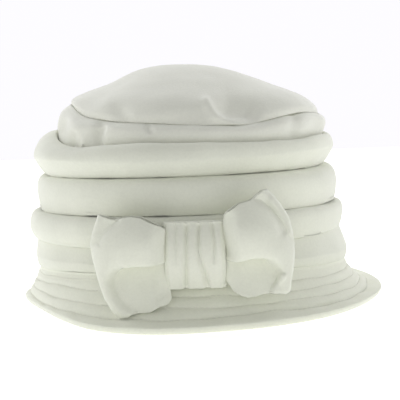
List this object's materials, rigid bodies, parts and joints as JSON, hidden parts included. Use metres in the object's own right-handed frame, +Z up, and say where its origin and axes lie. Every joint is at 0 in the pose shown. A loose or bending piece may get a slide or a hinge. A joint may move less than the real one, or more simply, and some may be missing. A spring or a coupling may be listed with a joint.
{
  "type": "cloche hat",
  "caption": "Soft fleece cloche hat with a domed crown, tucked side rolls, a quilted flared brim and a folded bow at the front.",
  "frame": {"origin": "centre of the hat's box on the surface that the brim rests on", "axes": "+Z up towards the crown, -Y towards the bow at the front, +X towards the right as seen from the front"},
  "size_m": [0.2304, 0.2497, 0.149],
  "materials": {
    "crown_fleece": "brushed polyester fleece, off-white, matt with a soft nap",
    "side_fleece": "brushed polyester fleece, warm off-white, matt with a soft nap",
    "brim_fleece": "brushed polyester fleece in two layers, quilted in rows with matching thread",
    "bow_fleece": "brushed polyester fleece, warm off-white, matt with a soft nap"
  },
  "bodies": {
    "root": {"crown_tip": "crown_fleece", "crown_band": "crown_fleece", "pleated_side": "side_fleece", "brim": "brim_fleece", "bow_loop_left": "bow_fleece", "bow_loop_right": "bow_fleece", "bow_knot": "bow_fleece"}
  },
  "joints": []
}
